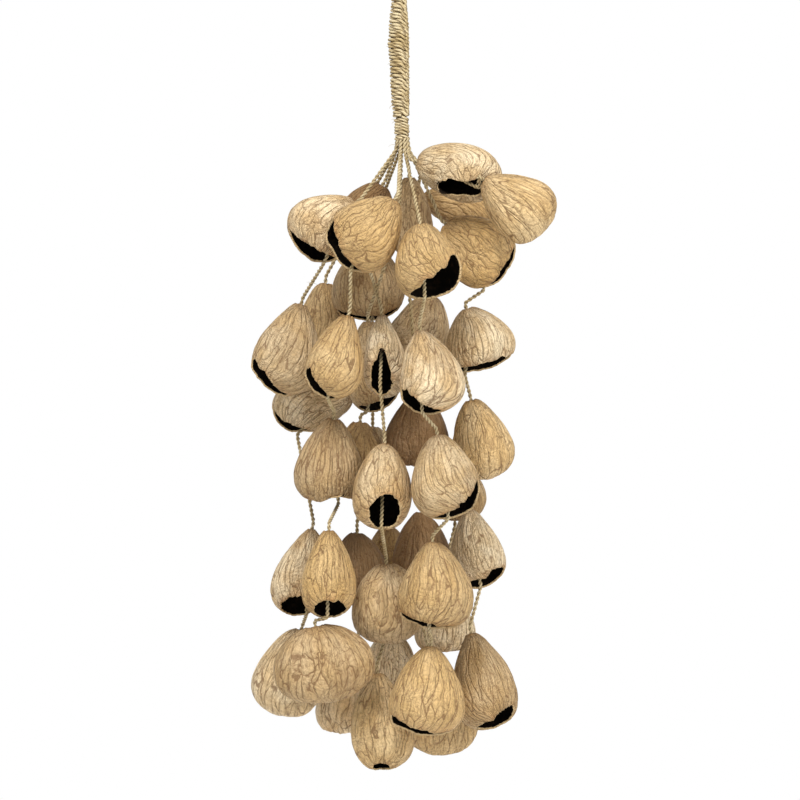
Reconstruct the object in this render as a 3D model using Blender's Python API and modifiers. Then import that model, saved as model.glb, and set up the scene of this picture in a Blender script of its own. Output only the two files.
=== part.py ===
"""A hanging rattle of pangi seed shells, strung on eleven twines below a cord-wound rope handle.

Run it with blender --background --python part.py, or from Blender's text editor.
The origin is inside the top of the hanging loop, where a hook bears. +Z is up and -Y is the front.
"""

import math
import random
from collections import namedtuple

import bmesh
import bpy
import numpy as np
from mathutils import Matrix, Vector

MM = 0.001

# Handle, in millimetres. Heights are below the point where a hook bears.
DROP_ZERO = 139.6
ROPE_RADIUS = 1.6
LEG_SPACING = 1.8
LOOP_HALF_WIDTH = 12.0
LOOP_THROAT = 34.0
LOOP_THROAT_SPREAD = 0.8
LOOP_LOWEST_ANGLE = -40.0
LOOP_QUARTER_STEPS = 7
WINDING_TOP = 39.0
WINDING_END = 123.5
WHIPPING_END = 139.0
SLEEVE_BORE = 3.85
HANDLE_STEPS = 12
# Outside radius of the winding at these heights: it bulges a little way down and tapers to the whipping.
GRIP_PROFILE = ((39.0, 4.9), (48.0, 4.9), (62.0, 6.2), (75.0, 7.0), (90.0, 6.3), (104.0, 6.0), (123.5, 5.2))
WHIPPING_RADIUS = 4.9
TURN_PITCH = 7.6
TURN_HEIGHT = 0.35
# How far the handle's middle lies to the right at these heights below the hook.
SWAY = ((0.0, 0.0), (75.0, -0.9), (110.0, 0.2), (139.6, 1.6))
SLEEVE_GAP = 0.3

# Twines, in millimetres.
TWINE_RADIUS = 0.9
KNOT_RADIUS = 2.2
KNOT_DEPTH = 6.5
KNOT_LENGTH = 4.0
LEAD_IN = 3.0
WAY_STEPS = 3
FAN_TOP = 140.0
FAN_RADIUS = 3.6
FAN_PLACES = 10
FAN_DROP = 6.0

# Shells, in millimetres and degrees.
WALL = 1.5
HOLE_RADIUS = 3.1
COLUMNS = 10
ROWS = 6
RIDGES = 5
RIDGE_HEIGHT = 0.4
LOBE_SHARE = 0.035
CHIP_ANGLE = 3.0
FACET_ALLOWANCE = 1.02
BEND_POWER = 1.3

Shell = namedtuple(
    "Shell",
    "name x drop depth lean pitch spin long wide thick taper face_lean face_pitch slit gape turn leave",
)

# One row for each shell, from the handle down its twine. x is to the right of the handle, drop is below the
# lower end of the handle and depth is behind it, all at the shell's narrow end. lean swings the broad end to
# the right, pitch swings it to the front. long, wide and thick are the whole seed's. taper narrows the top.
# face_lean and face_pitch say where the mouth faces, slit and gape are its half angles, turn is the slope of
# the slit seen from the front, and leave is where along the slit the twine leaves.
STRANDS = {
    "a": (
        Shell("a1", -28, 39.5, -15, -54, 6, 0, 50, 45, 36, 0.35, -24, 24, 46, 20, -35, 0.5),
        Shell("a2", -64, 104, 0, -14, 4, 0, 63, 45, 36, 0.40, -46, 12, 42, 20, -53, 0.7),
    ),
    "b": (
        Shell("b1", -3, 38, -45, -39, 10, 0, 56, 47, 38, 0.30, -66, 22, 50, 20, -70, 0.7),
        Shell("b2", -33, 112, -45, -15, 8, 0, 58, 38, 34, 0.45, -46, 14, 40, 20, -49, 0.75),
        Shell("b3", -43, 179, -22, -6, 2, 0, 59, 45, 38, 0.35, 0, -14, 44, 32, 0, 0.3),
        Shell("b4", -46, 251, -43, -1, 4, 0, 60, 36, 34, 0.38, 2, 30, 32, 24, 85, -0.35),
        Shell("b5", -55, 314, -46, 10, 2, 0, 52, 68, 34, 0.10, 6, -40, 42, 28, 0, 0.0),
    ),
    "c": (
        Shell("c1", -11, 27, 9, -31, 0, 0, 42, 36, 28, 0.20, -10, -20, 42, 26, 0, 0.0),
        Shell("c2", -12, 111, -20, 3, 8, 0, 57, 30, 30, 0.45, -15, 60, 36, 24, 80, -0.35),
        Shell("c3", -10, 196, -36, -3, 20, 0, 59, 40, 38, 0.30, 14, 47, 33, 24, 78, -0.7),
        Shell("c4", -9, 274, -24, 0, 4, 0, 54, 49, 34, 0.20, 0, -36, 40, 28, 0, 0.0),
        Shell("c5", -15, 344, -19, 4, 2, 0, 66, 42, 34, 0.40, 0, 10, 16, 12, 0, 0.0),
    ),
    "d": (
        Shell("d1", 13, 54, -43, 8, 30, 0, 55, 45, 40, 0.35, 40, 42, 52, 24, 46, -0.6),
        Shell("d2", 13, 122, -49, 11, 8, 0, 57, 43, 38, 0.45, -28, 18, 42, 20, -36, 0.4),
        Shell("d3", 24, 190, -52, 8, 10, 0, 57, 45, 38, 0.35, 42, 22, 50, 17, 44, -0.6),
        Shell("d4", 21, 259, -53, 3, 6, 0, 59, 50, 36, 0.40, -15, 8, 42, 24, -20, 0.2),
        Shell("d5", 20, 326, -50, -5, 6, 0, 62, 50, 40, 0.40, -15, 10, 45, 26, -17, 0.0),
    ),
    "e": (
        Shell("e1", 29, 53, -6, 48, 4, 0, 54, 46, 38, 0.20, 50, 8, 50, 24, 50, -0.75),
        Shell("e2", 43, 108, -8, 18, 6, 0, 46, 48, 42, 0.30, 8, 8, 56, 36, 8, -0.4),
        Shell("e3", 46, 167, -6, 13, 4, 0, 55, 42, 34, 0.35, 0, -30, 42, 26, 0, -0.3),
        Shell("e4", 45, 239, -8, 8, 4, 0, 53, 37, 34, 0.40, 26, 22, 38, 22, 15, -0.4),
        Shell("e5", 46, 319, -14, 12, 6, 0, 66, 44, 38, 0.40, 28, 24, 32, 18, 35, 0.0),
    ),
    "f": (
        Shell("f1", 10, 13, -22, 76, 6, 0, 59, 39, 36, 0.10, 12, 56, 50, 18, 10, 0.3),
        Shell("f2", 53, 25, -48, 54, 0, 0, 54, 45, 36, 0.40, 30, -52, 36, 26, 0, 0.0),
    ),
    "g": (
        Shell("g1", 14, 35, 43, 74, 0, 0, 52, 30, 32, 0.20, 20, -20, 38, 26, 0, 0.0),
        Shell("g2", 22, 99, 25, -20, 0, 0, 51, 41, 34, 0.30, -56, 12, 40, 24, -60, 0.7),
        Shell("g3", 33, 205, 30, 8, 0, 0, 46, 38, 34, 0.30, 0, 0, 38, 28, 0, 0.0),
        Shell("g4", 27, 291, 32, 4, 0, 0, 46, 40, 34, 0.30, 0, 0, 38, 28, 0, 0.0),
    ),
    "h": (
        Shell("h1", 6, 20, 20, 2, 0, 0, 56, 30, 26, 0.34, 0, -10, 38, 26, 0, 0.0),
        Shell("h2", 12, 163, 4, 0, 0, 0, 52, 42, 32, 0.35, 0, 0, 38, 26, 0, 0.0),
        Shell("h3", 14, 240, 6, 0, 0, 0, 54, 40, 30, 0.35, 0, 0, 38, 26, 0, 0.0),
        Shell("h4", 26, 350, 22, 0, 0, 0, 52, 50, 36, 0.20, 0, -40, 38, 26, 0, 0.0),
    ),
    "i": (
        Shell("i1", -20, 66, 30, 0, 0, 0, 53, 48, 38, 0.25, 4, 8, 52, 30, 4, 0.0),
        Shell("i2", -18, 185, 48, 0, 0, 0, 54, 40, 34, 0.30, 0, 0, 38, 26, 0, 0.0),
        Shell("i3", -8, 250, 42, 0, 0, 0, 50, 38, 32, 0.30, 0, 0, 38, 26, 0, 0.0),
        Shell("i4", -6, 318, 42, 0, 0, 0, 54, 38, 34, 0.30, 0, 0, 38, 26, 0, 0.0),
    ),
    "j": (
        Shell("j1", -21, 115, 9, 4, 0, 0, 62, 37, 32, 0.35, 20, 14, 42, 24, 20, -0.6),
        Shell("j2", -26, 181, 8, -2, 0, 0, 56, 43, 30, 0.35, 0, 0, 38, 26, 0, 0.0),
        Shell("j3", -28, 254, 10, 4, 0, 0, 52, 41, 30, 0.30, 0, 0, 38, 26, 0, 0.0),
        Shell("j4", -29, 344, 22, -16, 0, 0, 47, 37, 34, 0.30, 0, 0, 38, 26, 0, 0.0),
    ),
    "k": (
        Shell("k1", -49, 90, 52, 0, 0, 0, 52, 40, 34, 0.35, 0, 0, 38, 26, 0, 0.0),
        Shell("k2", -30, 163.5, 28, -76, 0, 0, 56, 37, 34, 0.25, -32, 14, 44, 24, -30, 0.3),
        Shell("k3", -57, 251, -8, -14, 4, 0, 60, 36, 34, 0.40, 0, 30, 32, 26, -60, 0.6),
        Shell("k4", -64, 317, -4, -15, 2, 0, 60, 47, 38, 0.30, -8, -40, 38, 26, 0, 0.0),
    ),
}

# The place of each twine round the handle's lower end, counted anticlockwise from the right. One is central.
FAN_ORDER = "eghikcabdf"

# Points that a twine passes on its way to a shell, as x, drop and depth, where it would touch a neighbour.
DETOURS = {
    "e1": ((22, 40, 2),),
    "g1": ((13, 16, 18),),
    "h2": ((6, 95, 0), (9, 130, -3)),
    "h4": ((14, 310, 4), (20, 335, 8)),
    "i1": ((-14, 42, 34),),
    "j1": ((-1, 48, -3), (-9, 78, -8), (-18, 104, -2)),
    "k1": ((-15, 26, 30),),
    "k2": ((-23, 152, 38),),
}

SHELL_TONES = ((0.66, 0.50, 0.30), (0.70, 0.54, 0.34), (0.58, 0.42, 0.24), (0.74, 0.60, 0.42))
TWINE_TONE = (0.42, 0.33, 0.17)
ROPE_TONE = (0.47, 0.36, 0.19)
SHELL_ROUGHNESS = 0.6
FIBRE_ROUGHNESS = 0.8


def clear_scene():
    """Removes the objects that a new file starts with."""
    for thing in list(bpy.data.objects):
        bpy.data.objects.remove(thing, do_unlink=True)


def make_material(name, tone, roughness):
    """A plain Principled material of one tone."""
    material = bpy.data.materials.new(name)
    material.use_nodes = True
    shader = material.node_tree.nodes["Principled BSDF"]
    shader.inputs["Base Color"].default_value = (*tone, 1.0)
    shader.inputs["Roughness"].default_value = roughness
    return material


def swing(lean, pitch, spin=0.0):
    """The turn of something that hangs from its top: lean to the right, pitch to the front, then spin."""
    across = Matrix.Rotation(-math.radians(lean), 3, "Y")
    forward = Matrix.Rotation(-math.radians(pitch), 3, "X")
    return across @ forward @ Matrix.Rotation(math.radians(spin), 3, "Z")


def tip_of(shell):
    """The narrow end of a shell, in millimetres."""
    return Vector((shell.x, shell.depth, -DROP_ZERO - shell.drop))


def widest_share(taper):
    """The largest value of the outline's width formula for this taper."""
    heights = np.linspace(-0.99, 0.99, 199)
    return float(np.max(np.sqrt(1 - heights**2) * (1 - taper * heights)))


def seed_of(shell):
    """The same random draws for a shell each time, from its name."""
    return random.Random(shell.name)


class ShellForm:
    """The outer surface of one shell, from its row: an egg whose lower pole is bent round to the mouth."""

    def __init__(self, shell):
        self.shell = shell
        self.turned = swing(shell.lean, shell.pitch, shell.spin)
        down = Vector((0, 0, -1))
        face = self.turned.transposed() @ (swing(shell.face_lean, shell.face_pitch) @ down)
        self.bend = down.angle(face)
        self.hinge = down.cross(face).normalized() if self.bend > 0.001 else Vector((1, 0, 0))
        self.widest = widest_share(shell.taper)
        narrow = min(shell.wide, shell.thick) / 2 * (1 - shell.taper) / self.widest
        self.hole = math.asin(min(HOLE_RADIUS / narrow, 0.9))
        self.slit_at = self.slit_azimuth(face)
        draws = seed_of(shell)
        self.lobe_at = draws.uniform(0, 2 * math.pi)
        self.chips = [draws.uniform(-1, 1) for _ in range(COLUMNS)]

    def slit_azimuth(self, face):
        """The azimuth that the slit's long way has on the sphere before it is bent."""
        slope = math.radians(self.shell.turn)
        along = self.turned.transposed() @ Vector((math.cos(slope), 0, math.sin(slope)))
        along = (along - along.dot(face) * face).normalized()
        unbent = Matrix.Rotation(-self.bend, 3, self.hinge) @ along
        return math.atan2(unbent.y, unbent.x)

    def mouth_angle(self, azimuth):
        """The half angle of the mouth at this azimuth, an ellipse of slit by gape."""
        slit, gape = math.radians(self.shell.slit), math.radians(self.shell.gape)
        round_slit = azimuth - self.slit_at
        return slit * gape / math.hypot(gape * math.cos(round_slit), slit * math.sin(round_slit))

    def point(self, polar, azimuth):
        """A point of the outer surface in the shell's own frame, with its narrow end at the origin."""
        shell = self.shell
        ball = Vector(
            (math.sin(polar) * math.cos(azimuth), math.sin(polar) * math.sin(azimuth), math.cos(polar))
        )
        share = ((1 - math.cos(polar)) / 2) ** BEND_POWER
        ball = Matrix.Rotation(self.bend * share, 3, self.hinge) @ ball
        around = math.atan2(ball.y, ball.x)
        girth = FACET_ALLOWANCE * (1 - shell.taper * ball.z) / self.widest
        girth *= 1 + LOBE_SHARE * math.cos(3 * around + self.lobe_at)
        girth *= 1 + RIDGE_HEIGHT / (shell.wide / 2) * math.cos(RIDGES * azimuth)
        across, through = shell.wide / 2 * girth, shell.thick / 2 * girth
        return Vector((ball.x * across, ball.y * through, (ball.z - 1) * shell.long / 2))

    def surface(self, share, azimuth, column):
        """The point at a share of the way from the twine's hole to the chipped rim of the mouth."""
        chip = math.radians(CHIP_ANGLE) * self.chips[column] * share**4
        reach = math.pi - self.mouth_angle(azimuth) + chip
        return self.point(self.hole + (reach - self.hole) * share, azimuth)

    def mouth_exit(self):
        """Where the twine leaves the mouth, in the shell's own frame."""
        off = math.radians(self.shell.slit) * abs(self.shell.leave)
        azimuth = self.slit_at if self.shell.leave >= 0 else self.slit_at + math.pi
        return self.point(math.pi - off, azimuth)

    def in_world(self, local):
        """A point of the shell's own frame in the rattle's frame, in millimetres."""
        return self.turned @ local + tip_of(self.shell)


def make_shell(shell, material, collection):
    """One hollow shell: a sphere without its poles, shaped by the form and given its wall."""
    form = ShellForm(shell)
    mesh = bpy.data.meshes.new(f"shell_{shell.name}")
    work = bmesh.new()
    bmesh.ops.create_uvsphere(work, u_segments=COLUMNS, v_segments=ROWS + 2, radius=1.0)
    poles = [vertex for vertex in work.verts if abs(vertex.co.z) > 0.999]
    bmesh.ops.delete(work, geom=poles, context="VERTS")
    ring_angle = math.pi / (ROWS + 2)
    for vertex in work.verts:
        azimuth = math.atan2(vertex.co.y, vertex.co.x)
        share = (math.acos(vertex.co.z) / ring_angle - 1) / ROWS
        column = round(azimuth / (2 * math.pi / COLUMNS)) % COLUMNS
        azimuth += form.slit_at
        vertex.co = form.surface(min(max(share, 0.0), 1.0), azimuth, column) * MM
    work.to_mesh(mesh)
    work.free()
    mesh.materials.append(material)
    mesh.shade_smooth()
    made = bpy.data.objects.new(f"shell_{shell.name}", mesh)
    made.location = tip_of(shell) * MM
    made.rotation_euler = form.turned.to_euler()
    wall = made.modifiers.new("wall", "SOLIDIFY")
    wall.thickness = WALL * MM
    wall.offset = -1.0
    collection.objects.link(made)
    return made


def fan_start(letter):
    """Where a twine leaves the handle: ten stand round its edge and one in the middle."""
    foot = handle_axis(FAN_TOP)
    if letter not in FAN_ORDER:
        return Vector((foot, 0, -FAN_TOP))
    angle = 2 * math.pi * FAN_ORDER.index(letter) / FAN_PLACES
    return Vector((foot + FAN_RADIUS * math.cos(angle), FAN_RADIUS * math.sin(angle), -FAN_TOP))


def handle_axis(height):
    """How far the handle's middle lies to the right at a height below the hook."""
    heights, shifts = zip(*SWAY)
    return float(np.interp(height, heights, shifts))


def smooth_way(points):
    """Points of a smooth curve that passes through these, with the ends left as they are."""
    spans = [2 * points[0] - points[1], *points, 2 * points[-1] - points[-2]]
    way = []
    for before, start, end, after in zip(spans, spans[1:], spans[2:], spans[3:]):
        for step in range(WAY_STEPS):
            t = step / WAY_STEPS
            pull = (end - before) * t + (2 * before - 5 * start + 4 * end - after) * t**2
            pull += (3 * start - before - 3 * end + after) * t**3
            way.append(start + pull / 2)
    return [*way, points[-1]]


def strand_route(letter, shells):
    """The twine's points and radii, from the handle through each shell to the knot in the last."""
    start = fan_start(letter)
    first = tip_of(shells[0])
    spread = (first - start).normalized()
    points = [start, start + (spread + Vector((0, 0, -1))).normalized() * FAN_DROP]
    radii = [TWINE_RADIUS, TWINE_RADIUS]
    for shell in shells:
        form = ShellForm(shell)
        passed = [Vector((x, depth, -DROP_ZERO - drop)) for x, drop, depth in DETOURS.get(shell.name, ())]
        if passed:
            way = smooth_way([points[-1], *passed, form.in_world(Vector((0, 0, LEAD_IN)))])
            points += way[1:-1]
            radii += [TWINE_RADIUS] * (len(way) - 2)
        stops = ((LEAD_IN, TWINE_RADIUS), (-KNOT_DEPTH, KNOT_RADIUS), (-KNOT_DEPTH - KNOT_LENGTH, TWINE_RADIUS))
        for height, radius in stops:
            points.append(form.in_world(Vector((0, 0, height))))
            radii.append(radius)
        if shell is not shells[-1]:
            points.append(form.in_world(form.mouth_exit()))
            radii.append(TWINE_RADIUS)
    return points, radii


def make_tube(name, points, radii, material, collection):
    """A tube with closed ends along the points, whose radius changes from point to point."""
    curve = bpy.data.curves.new(name, "CURVE")
    curve.dimensions = "3D"
    curve.bevel_depth = radii[0] * MM
    curve.bevel_resolution = 2
    curve.use_fill_caps = True
    spline = curve.splines.new("POLY")
    spline.points.add(len(points) - 1)
    for place, point, radius in zip(spline.points, points, radii):
        place.co = (*(point * MM), 1.0)
        place.radius = radius / radii[0]
    curve.materials.append(material)
    made = bpy.data.objects.new(name, curve)
    collection.objects.link(made)
    return made


def loop_points():
    """The rope of the handle: up one leg, round the eye and down the other leg."""
    half = []
    bends = [height for height, _ in reversed(SWAY) if WINDING_TOP < height < WINDING_END]
    for height in (WHIPPING_END, WINDING_END, *bends, WINDING_TOP):
        half.append(Vector((handle_axis(height) + LEG_SPACING, 0, -height)))
    half.append(Vector((LEG_SPACING + LOOP_THROAT_SPREAD, 0, -LOOP_THROAT)))
    centre = ROPE_RADIUS - LOOP_HALF_WIDTH
    for step in range(LOOP_QUARTER_STEPS + 1):
        turned = LOOP_LOWEST_ANGLE + (90 - LOOP_LOWEST_ANGLE) * step / LOOP_QUARTER_STEPS
        angle = math.radians(turned)
        x, rise = LOOP_HALF_WIDTH * math.cos(angle), LOOP_HALF_WIDTH * math.sin(angle)
        half.append(Vector((x, 0, centre + rise)))
    other = []
    for point in reversed(half[:-1]):
        shift = 2 * handle_axis(-point.z) if -point.z >= WINDING_TOP else 0.0
        other.append(Vector((shift - point.x, point.y, point.z)))
    return half + other


def sleeve_profile(top, end, radius_at, pitch, height):
    """Half the section of a wound sleeve: turns down its outside, then its straight bore."""
    count = 2 * round((end - top) / pitch)
    outline = []
    for step in range(count + 1):
        down = top + (end - top) * step / count
        ridge = height if step % 2 else -height
        outline.append((radius_at(down) + ridge, -down))
    bends = [height for height, _ in reversed(SWAY) if top < height < end]
    outline += [(SLEEVE_BORE, -height) for height in (end, *bends, top)]
    return outline


def make_sleeve(name, outline, material, collection):
    """Turns a closed outline round the handle's own line, then follows its slight sway."""
    mesh = bpy.data.meshes.new(name)
    edges = [(i, (i + 1) % len(outline)) for i in range(len(outline))]
    mesh.from_pydata([(x * MM, 0, z * MM) for x, z in outline], edges, [])
    made = bpy.data.objects.new(name, mesh)
    collection.objects.link(made)
    turned = made.modifiers.new("turned", "SCREW")
    turned.steps = HANDLE_STEPS
    turned.render_steps = HANDLE_STEPS
    turned.use_merge_vertices = True
    turned.merge_threshold = 0.00001
    graph = bpy.context.evaluated_depsgraph_get()
    solid = bpy.data.meshes.new_from_object(made.evaluated_get(graph))
    made.modifiers.clear()
    for vertex in solid.vertices:
        vertex.co.x += handle_axis(-vertex.co.z / MM) * MM
    made.data = solid
    solid.materials.append(material)
    solid.shade_smooth()
    return made


def grip_radius(height):
    """The winding's outside radius at a height below the hook."""
    heights, radii = zip(*GRIP_PROFILE)
    return float(np.interp(height, heights, radii))


def make_handle(material, collection):
    """The loop with its two legs, the winding round them and the whipping below it."""
    points = loop_points()
    make_tube("hanging_loop", points, [ROPE_RADIUS] * len(points), material, collection)
    winding = sleeve_profile(WINDING_TOP, WINDING_END - SLEEVE_GAP / 2, grip_radius, TURN_PITCH, TURN_HEIGHT)
    make_sleeve("handle_winding", winding, material, collection)
    whipping_top = WINDING_END + SLEEVE_GAP / 2
    whipping = sleeve_profile(
        whipping_top, WHIPPING_END, lambda _: WHIPPING_RADIUS, TURN_PITCH / 2, TURN_HEIGHT / 2
    )
    make_sleeve("whipping", whipping, material, collection)


def main():
    clear_scene()
    collection = bpy.data.collections.new("pangi_seed_shell_rattle")
    bpy.context.scene.collection.children.link(collection)
    rope = make_material("rope", ROPE_TONE, FIBRE_ROUGHNESS)
    twine = make_material("twine", TWINE_TONE, FIBRE_ROUGHNESS)
    tones = [make_material(f"shell_{i + 1}", tone, SHELL_ROUGHNESS) for i, tone in enumerate(SHELL_TONES)]
    make_handle(rope, collection)
    for index, (letter, shells) in enumerate(STRANDS.items()):
        for place, shell in enumerate(shells):
            make_shell(shell, tones[(index + place) % len(tones)], collection)
        points, radii = strand_route(letter, shells)
        make_tube(f"twine_{letter}", points, radii, twine, collection)


if __name__ == "__main__":
    main()
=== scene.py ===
"""The looks of a hanging rattle of pangi seed shells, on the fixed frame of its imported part.

The frame's origin is inside the top of the hanging loop, +Z is up and -Y is the front. Places below are in
millimetres, the way a maker measures them, and become metres where a mesh is written.
"""

import logging
import math
import random
from dataclasses import dataclass, field
from enum import Enum

import bmesh
import bpy
import numpy as np
from mathutils import Matrix, Vector, noise


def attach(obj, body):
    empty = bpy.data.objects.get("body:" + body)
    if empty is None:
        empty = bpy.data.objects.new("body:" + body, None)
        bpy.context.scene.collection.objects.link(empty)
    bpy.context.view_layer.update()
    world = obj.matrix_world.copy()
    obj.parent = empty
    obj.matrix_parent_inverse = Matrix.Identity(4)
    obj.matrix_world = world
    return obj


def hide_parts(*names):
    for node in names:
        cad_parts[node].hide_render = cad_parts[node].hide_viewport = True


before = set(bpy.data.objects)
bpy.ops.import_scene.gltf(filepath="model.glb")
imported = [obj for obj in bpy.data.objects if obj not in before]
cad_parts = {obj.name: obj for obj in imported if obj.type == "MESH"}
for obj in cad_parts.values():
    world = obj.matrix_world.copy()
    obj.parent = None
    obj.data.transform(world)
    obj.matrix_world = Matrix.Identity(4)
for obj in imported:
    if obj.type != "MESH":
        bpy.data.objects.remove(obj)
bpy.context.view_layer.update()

Piece = bpy.types.Object
Socket = bpy.types.NodeSocket

LOG = logging.getLogger("seed_shell_rattle")
MM = 0.001
BODY = "root"

# The handle, in millimetres below the hook, as the part has it.
DROP_ZERO = 139.6
ROPE_RADIUS = 1.6
LEG_SPACING = 1.8
LOOP_HALF_WIDTH = 12.0
LOOP_THROAT = 34.0
LOOP_THROAT_SPREAD = 0.8
LOOP_LOWEST_ANGLE = -40.0
WINDING_TOP = 39.0
WINDING_END = 123.5
WHIPPING_END = 139.0
GRIP_PROFILE = ((39.0, 4.9), (48.0, 4.9), (62.0, 6.2), (75.0, 7.0), (90.0, 6.3), (104.0, 6.0), (123.5, 5.2))
WHIPPING_RADIUS = 4.9
SWAY = ((0.0, 0.0), (75.0, -0.9), (110.0, 0.2), (139.6, 1.6))

# The twines.
KNOT_DEPTH = 6.5
KNOT_LENGTH = 4.0
LEAD_IN = 3.0
WAY_STEPS = 3
UNTWISTED = 1e6
FAN_TOP = 140.0
FAN_RADIUS = 3.6
FAN_PLACES = 10
FAN_DROP = 6.0

# The shells.
USUAL_SLIT = 38.0
USUAL_GAPE = 26.0
WALL = 1.2
HOLE_RADIUS = 3.1
CAD_COLUMNS = 10
RIDGES = 5
LOBES = 3
WIDEST_HOLE = 0.9
NOISE_SPREAD = 400.0
RIDGE_HEIGHT = 0.4
LOBE_SHARE = 0.035
CHIP_ANGLE = 3.0
BEND_POWER = 1.3


def hung(x: float, drop: float, depth: float) -> Vector:
    """A place in the rattle's frame, in millimetres, by its drop below the handle."""
    return Vector((x, depth, -DROP_ZERO - drop))


def apart(angle: np.ndarray | float, other: np.ndarray | float) -> np.ndarray | float:
    """The turn from the other angle to this one, from -180 to 180 degrees."""
    return (angle - other + 180) % 360 - 180


class Tone(Enum):
    """How a shell has dried: the shares of the dark husk colour and of the honey one in it. The darkest
    tone's dark share is painted shade, for shells that hang deep in the bunch.
    """

    PALE = (0.0, 0.0)
    STRAW = (0.22, 0.25)
    HONEY = (0.14, 0.75)
    TAN = (0.43, 0.45)
    # Painted shade: shells deep in the bunch are darkened as if the others shaded them.
    UMBER = (1.0, 0.4)


@dataclass(frozen=True)
class SeedShell:
    """One row of the stringing plan: a shell's place, size and mouth, in millimetres and degrees."""

    name: str
    x: float
    drop: float
    depth: float
    lean: float
    pitch: float
    long: float
    wide: float
    thick: float
    taper: float
    face_lean: float = 0.0
    face_pitch: float = 0.0
    slit: float = USUAL_SLIT
    gape: float = USUAL_GAPE
    turn: float = 0.0
    leave: float = 0.0

    @property
    def tip(self) -> Vector:
        """The narrow end in the rattle's frame, in millimetres."""
        return hung(self.x, self.drop, self.depth)

    @property
    def node(self) -> str:
        """The name of the part's node that this shell stands for."""
        return f"shell_{self.name}"


# One row for each shell, from the handle down its twine, as the part has them. A row's values are those of
# SeedShell after its name, and it ends where the rest are the usual ones.
ROWS = {
    "a": (
        (-28, 39.5, -15, -54, 6, 50, 45, 36, 0.35, -24, 24, 46, 20, -35, 0.5),
        (-64, 104, 0, -14, 4, 63, 45, 36, 0.40, -46, 12, 42, 20, -53, 0.7),
    ),
    "b": (
        (-3, 38, -45, -39, 10, 56, 47, 38, 0.30, -66, 22, 50, 20, -70, 0.7),
        (-33, 112, -45, -15, 8, 58, 38, 34, 0.45, -46, 14, 40, 20, -49, 0.75),
        (-43, 179, -22, -6, 2, 59, 45, 38, 0.35, 0, -14, 44, 32, 0, 0.3),
        (-46, 251, -43, -1, 4, 60, 36, 34, 0.38, 2, 30, 32, 24, 85, -0.35),
        (-55, 314, -46, 10, 2, 52, 68, 34, 0.10, 6, -40, 42, 28),
    ),
    "c": (
        (-11, 27, 9, -31, 0, 42, 36, 28, 0.20, -10, -20, 42),
        (-12, 111, -20, 3, 8, 57, 30, 30, 0.45, -15, 60, 36, 24, 80, -0.35),
        (-10, 196, -36, -3, 20, 59, 40, 38, 0.30, 14, 47, 33, 24, 78, -0.7),
        (-9, 274, -24, 0, 4, 54, 49, 34, 0.20, 0, -36, 40, 28),
        (-15, 344, -19, 4, 2, 66, 42, 34, 0.40, 0, 10, 16, 12),
    ),
    "d": (
        (13, 54, -43, 8, 30, 55, 45, 40, 0.35, 40, 42, 52, 24, 46, -0.6),
        (13, 122, -49, 11, 8, 57, 43, 38, 0.45, -28, 18, 42, 20, -36, 0.4),
        (24, 190, -52, 8, 10, 57, 45, 38, 0.35, 42, 22, 50, 17, 44, -0.6),
        (21, 259, -53, 3, 6, 59, 50, 36, 0.40, -15, 8, 42, 24, -20, 0.2),
        (20, 326, -50, -5, 6, 62, 50, 40, 0.40, -15, 10, 45, 26, -17),
    ),
    "e": (
        (29, 53, -6, 48, 4, 54, 46, 38, 0.20, 50, 8, 50, 24, 50, -0.75),
        (43, 108, -8, 18, 6, 46, 48, 42, 0.30, 8, 8, 56, 36, 8, -0.4),
        (46, 167, -6, 13, 4, 55, 42, 34, 0.35, 0, -30, 42, 26, 0, -0.3),
        (45, 239, -8, 8, 4, 53, 37, 34, 0.40, 26, 22, 38, 22, 15, -0.4),
        (46, 319, -14, 12, 6, 66, 44, 38, 0.40, 28, 24, 32, 18, 35),
    ),
    "f": (
        (10, 13, -22, 76, 6, 59, 39, 36, 0.10, 12, 56, 50, 18, 10, 0.3),
        (53, 25, -48, 54, 0, 54, 45, 36, 0.40, 30, -52, 36),
    ),
    "g": (
        (14, 35, 43, 74, 0, 52, 30, 32, 0.20, 20, -20),
        (22, 99, 25, -20, 0, 51, 41, 34, 0.30, -56, 12, 40, 24, -60, 0.7),
        (33, 205, 30, 8, 0, 46, 38, 34, 0.30, 0, 0, 38, 28),
        (27, 291, 32, 4, 0, 46, 40, 34, 0.30, 0, 0, 38, 28),
    ),
    "h": (
        (6, 20, 20, 2, 0, 56, 30, 26, 0.34, 0, -10),
        (12, 163, 4, 0, 0, 52, 42, 32, 0.35),
        (14, 240, 6, 0, 0, 54, 40, 30, 0.35),
        (26, 350, 22, 0, 0, 52, 50, 36, 0.20, 0, -40),
    ),
    "i": (
        (-20, 66, 30, 0, 0, 53, 48, 38, 0.25, 4, 8, 52, 30, 4),
        (-18, 185, 48, 0, 0, 54, 40, 34, 0.30),
        (-8, 250, 42, 0, 0, 50, 38, 32, 0.30),
        (-6, 318, 42, 0, 0, 54, 38, 34, 0.30),
    ),
    "j": (
        (-21, 115, 9, 4, 0, 62, 37, 32, 0.35, 20, 14, 42, 24, 20, -0.6),
        (-26, 181, 8, -2, 0, 56, 43, 30, 0.35),
        (-28, 254, 10, 4, 0, 52, 41, 30, 0.30),
        (-29, 344, 22, -16, 0, 47, 37, 34, 0.30),
    ),
    "k": (
        (-49, 90, 52, 0, 0, 52, 40, 34, 0.35),
        (-30, 163.5, 28, -76, 0, 56, 37, 34, 0.25, -32, 14, 44, 24, -30, 0.3),
        (-57, 251, -8, -14, 4, 60, 36, 34, 0.40, 0, 30, 32, 26, -60, 0.6),
        (-64, 317, -4, -15, 2, 60, 47, 38, 0.30, -8, -40),
    ),
}

STRANDS = {
    letter: tuple(SeedShell(f"{letter}{place}", *row) for place, row in enumerate(rows, 1))
    for letter, rows in ROWS.items()
}

# The place of each twine round the handle's lower end, counted anticlockwise from the right. One is central.
FAN_ORDER = "eghikcabdf"

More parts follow.
